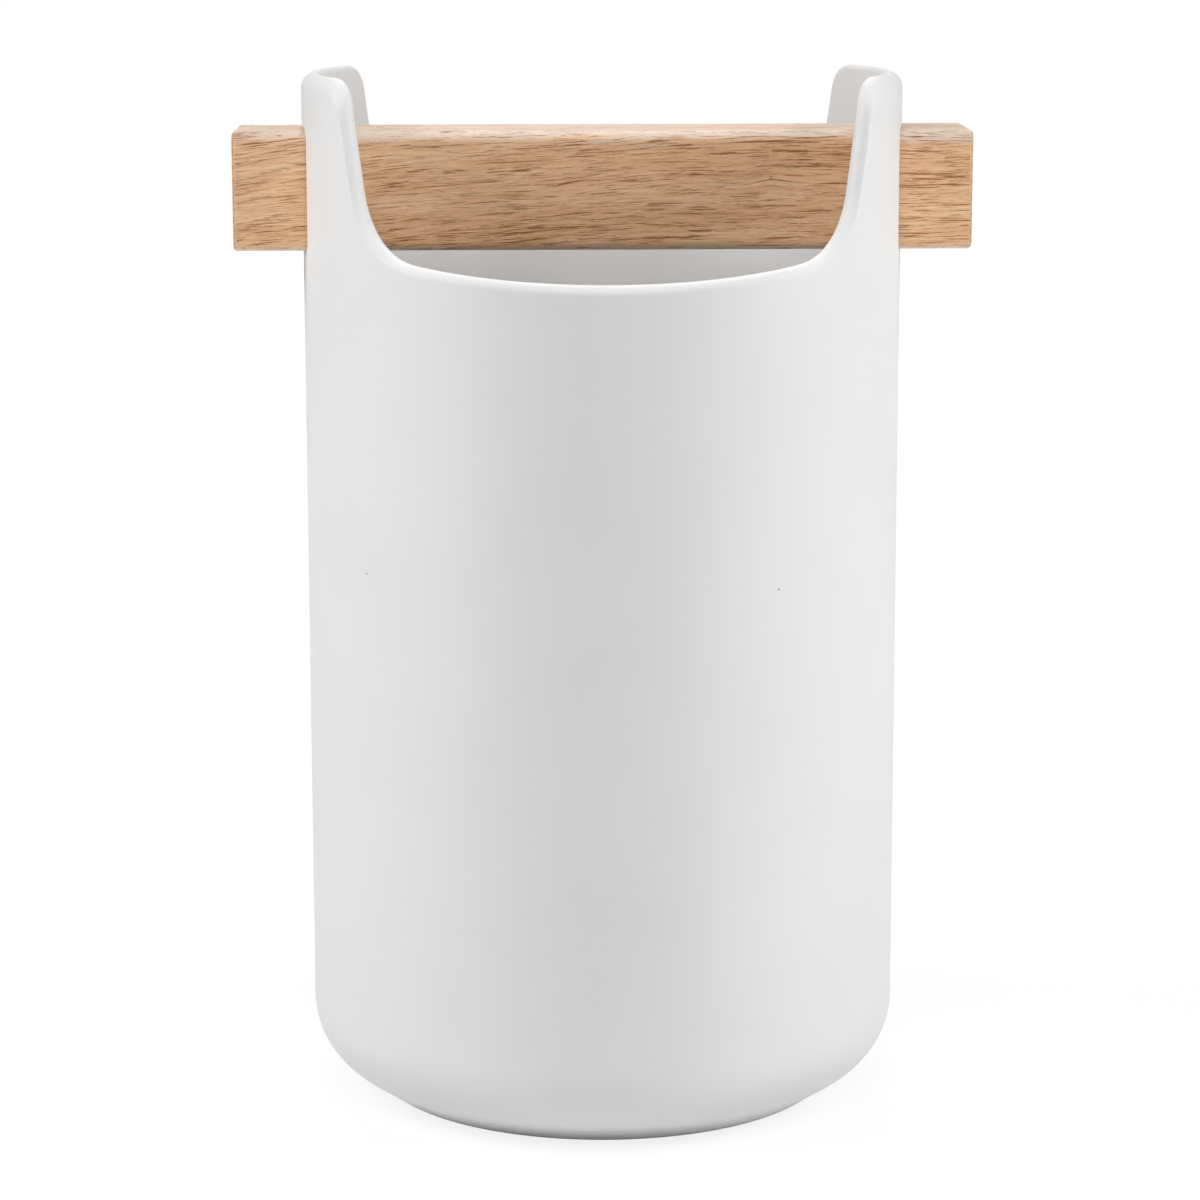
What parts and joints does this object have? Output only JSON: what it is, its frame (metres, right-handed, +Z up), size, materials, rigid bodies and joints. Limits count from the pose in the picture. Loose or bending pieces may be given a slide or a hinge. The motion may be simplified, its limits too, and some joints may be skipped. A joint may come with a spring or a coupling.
{
  "type": "utensil holder",
  "caption": "Tall round utensil crock in smooth white ceramic, with raised ears at the sides and a loose square oak bar through them as its handle.",
  "frame": {"origin": "centre of the foot ring, on the surface that the crock stands on", "axes": "+Z up along the crock's axis, +X along the bar from ear to ear, +Y from the front window to the rear one"},
  "size_m": [0.1468, 0.12, 0.208],
  "materials": {
    "white_glaze": "silk white glaze, smooth, with a soft sheen",
    "oak": "light oak, planed and eased at the edges, no lacquer"
  },
  "bodies": {
    "crock": {"ceramic_crock": "white_glaze"},
    "handle": {"oak_handle": "oak"}
  },
  "joints": [
    {"name": "handle_slide", "type": "slide", "parent": "crock", "child": "handle", "axis": [1, 0, 0], "range_m": [-0.14, 0.14]}
  ]
}
